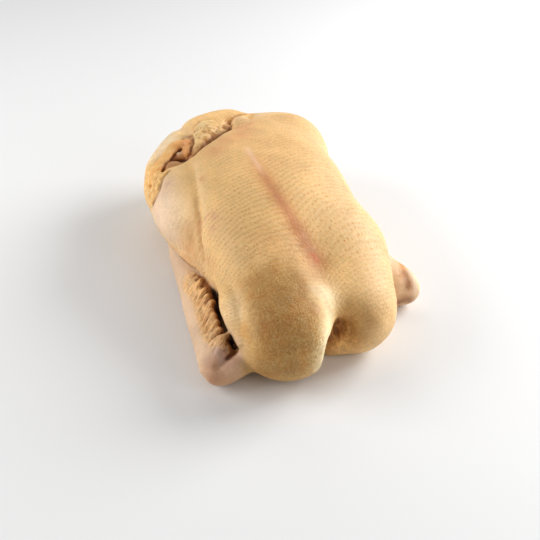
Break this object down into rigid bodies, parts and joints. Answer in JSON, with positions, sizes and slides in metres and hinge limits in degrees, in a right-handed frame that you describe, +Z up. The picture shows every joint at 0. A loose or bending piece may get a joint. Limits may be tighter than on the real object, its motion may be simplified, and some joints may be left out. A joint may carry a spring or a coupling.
{
  "type": "whole muscovy duck",
  "caption": "Whole plucked raw Muscovy duck lying breast up, with its legs tucked in, its wings along its flanks and its neck skin folded over the neck opening.",
  "frame": {"origin": "centre of the bounding box at the flat spot of the back that the bird rests on", "axes": "+Y from the tail to the neck, +Z up from the back to the breast, +X to the right as seen from the tail"},
  "size_m": [0.1848, 0.294, 0.0963],
  "materials": {
    "skin": "cream-tan raw skin, matte with a slight moist sheen, pricked with fine darker feather follicles in curved rows, pinker over the keel, shoulder and wrists"
  },
  "bodies": {
    "root": {"duck": "skin"}
  },
  "joints": []
}
